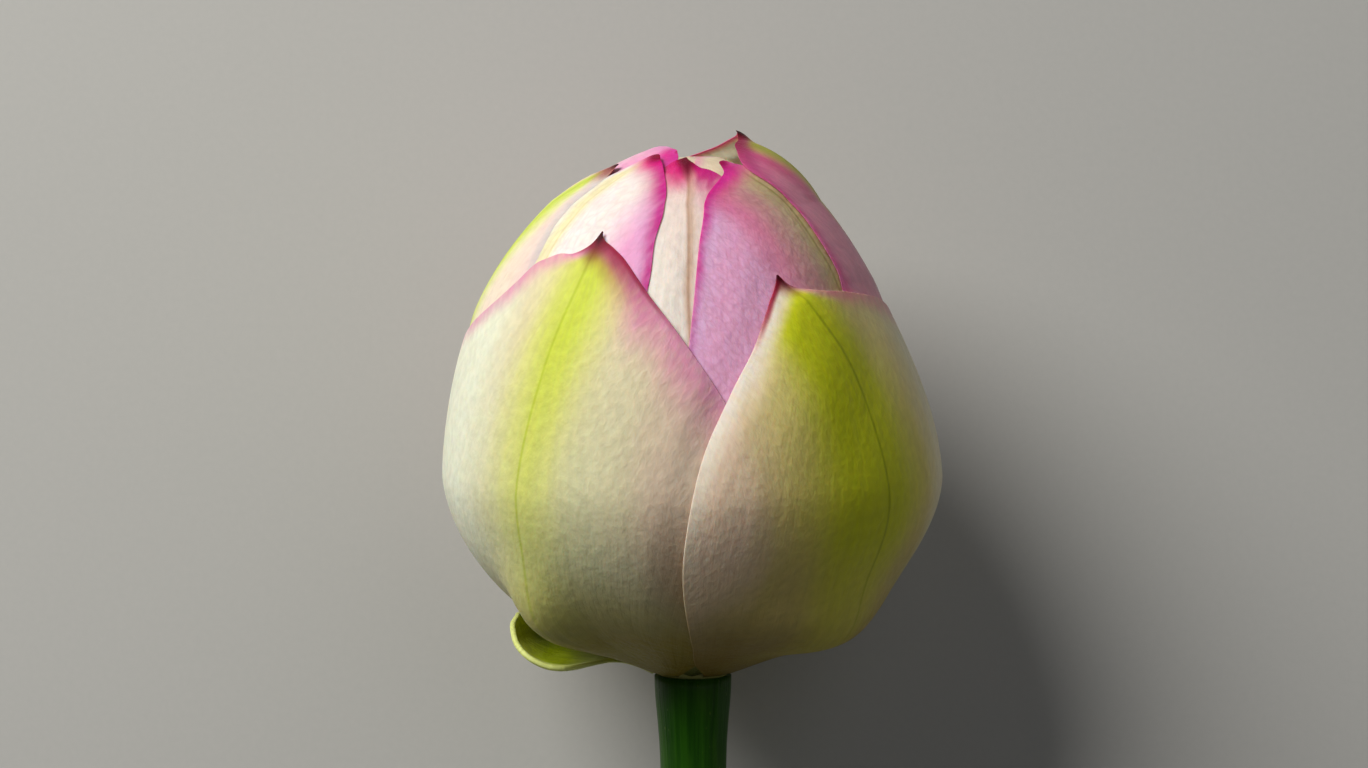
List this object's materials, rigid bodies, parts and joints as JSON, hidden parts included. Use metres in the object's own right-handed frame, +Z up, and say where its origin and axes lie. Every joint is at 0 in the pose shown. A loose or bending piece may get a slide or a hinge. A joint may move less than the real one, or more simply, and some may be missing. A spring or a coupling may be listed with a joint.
{
  "type": "lotus flower bud",
  "caption": "Closed lotus flower bud with overlapping petals, a bent-back sepal, inner receptacle and stamens, on a cut stem, lying on its side.",
  "frame": {"origin": "middle of the small flat spot on the belly of the bud, where the lying flower rests on the surface", "axes": "+Z up from the surface, through the side of the bud that faces up; +Y from the cut end of the stem towards the tip of the bud; +X to the right as seen from above with the tip away from the viewer"},
  "size_m": [0.0747, 0.2042, 0.073],
  "materials": {
    "petal_outer": "waxy matte petal, cream with a yellow-green midrib band and a dark tip",
    "petal_inner": "soft petal, white to pink with hot pink margins",
    "sepal": "soft light green with a pale rim",
    "receptacle": "soft yellow-green, matte",
    "stamens": "powdery yellow",
    "stem": "smooth green skin with a satin sheen"
  },
  "bodies": {
    "root": {"petal_front_right": "petal_outer", "petal_front_left": "petal_outer", "petal_under": "petal_outer", "petal_left": "petal_outer", "petal_right": "petal_outer", "petal_back": "petal_outer", "petal_inner_left": "petal_inner", "petal_inner_right": "petal_inner", "petal_inner_back_left": "petal_inner", "petal_inner_back_right": "petal_inner", "petal_inner_front": "petal_inner", "petal_core_right": "petal_inner", "petal_core_left": "petal_inner", "petal_core_back": "petal_inner", "petal_heart_front": "petal_inner", "petal_heart_left": "petal_inner", "petal_heart_back": "petal_inner", "sepal": "sepal", "receptacle": "receptacle", "stamens": "stamens", "stem": "stem"}
  },
  "joints": []
}
